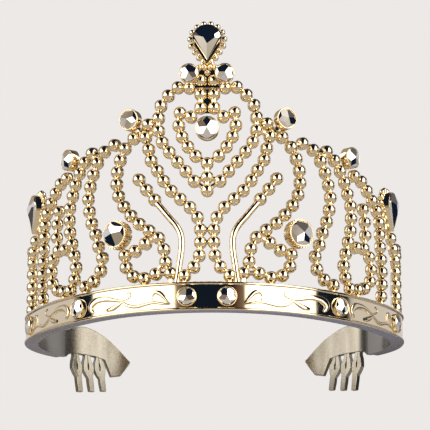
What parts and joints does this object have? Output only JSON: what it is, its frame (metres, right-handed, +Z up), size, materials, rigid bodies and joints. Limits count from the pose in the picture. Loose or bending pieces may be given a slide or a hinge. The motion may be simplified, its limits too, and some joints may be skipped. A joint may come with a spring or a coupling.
{
  "type": "tiara crown",
  "caption": "Upright tiara-style crown: a curved plated band carries an openwork panel of bead strings, heart and oval loops and faceted stones in cups, with a toothed comb at each end.",
  "frame": {"origin": "centre of the head opening, in the plane of the band's underside", "axes": "+Z up as worn, the crown faces -Y, +X across the head"},
  "size_m": [0.1276, 0.101, 0.1056],
  "materials": {
    "gold_plating": "champagne-gold mirror plating on moulded plastic",
    "mirror_stone": "faceted stones with the same bright mirror plating"
  },
  "bodies": {
    "root": {"band": "gold_plating", "band_stone_1_left": "mirror_stone", "band_stone_1_right": "mirror_stone", "band_stone_2_left": "mirror_stone", "band_stone_2_right": "mirror_stone", "band_stone_3_left": "mirror_stone", "band_stone_3_right": "mirror_stone", "comb_left": "gold_plating", "comb_right": "gold_plating", "branch_left": "gold_plating", "branch_right": "gold_plating", "sprig_left": "gold_plating", "sprig_right": "gold_plating", "knot_left": "gold_plating", "knot_right": "gold_plating", "leaf_left": "gold_plating", "leaf_right": "gold_plating", "leaf_loop_left": "gold_plating", "leaf_loop_right": "gold_plating", "inner_garland_left": "gold_plating", "inner_garland_right": "gold_plating", "outer_garland_left": "gold_plating", "outer_garland_right": "gold_plating", "oval_loop_left": "gold_plating", "oval_loop_right": "gold_plating", "oval_stalk_left": "gold_plating", "oval_stalk_right": "gold_plating", "side_string_left": "gold_plating", "side_string_right": "gold_plating", "rear_string_left": "gold_plating", "rear_string_right": "gold_plating", "rear_loop_left": "gold_plating", "rear_loop_right": "gold_plating", "top_round_cup_left": "gold_plating", "top_round_cup_right": "gold_plating", "top_round_stone_left": "mirror_stone", "top_round_stone_right": "mirror_stone", "upper_cup_left": "gold_plating", "upper_cup_right": "gold_plating", "upper_stone_left": "mirror_stone", "upper_stone_right": "mirror_stone", "middle_cup_left": "gold_plating", "middle_cup_right": "gold_plating", "middle_stone_left": "mirror_stone", "middle_stone_right": "mirror_stone", "big_cup_left": "gold_plating", "big_cup_right": "gold_plating", "big_stone_left": "mirror_stone", "big_stone_right": "mirror_stone", "side_drop_cup_left": "gold_plating", "side_drop_cup_right": "gold_plating", "side_drop_stone_left": "mirror_stone", "side_drop_stone_right": "mirror_stone", "crest_loop": "gold_plating", "inner_heart": "gold_plating", "centre_column": "gold_plating", "heart_cup": "gold_plating", "heart_stone": "mirror_stone", "top_drop_cup": "gold_plating", "top_drop_stone": "mirror_stone"}
  },
  "joints": []
}
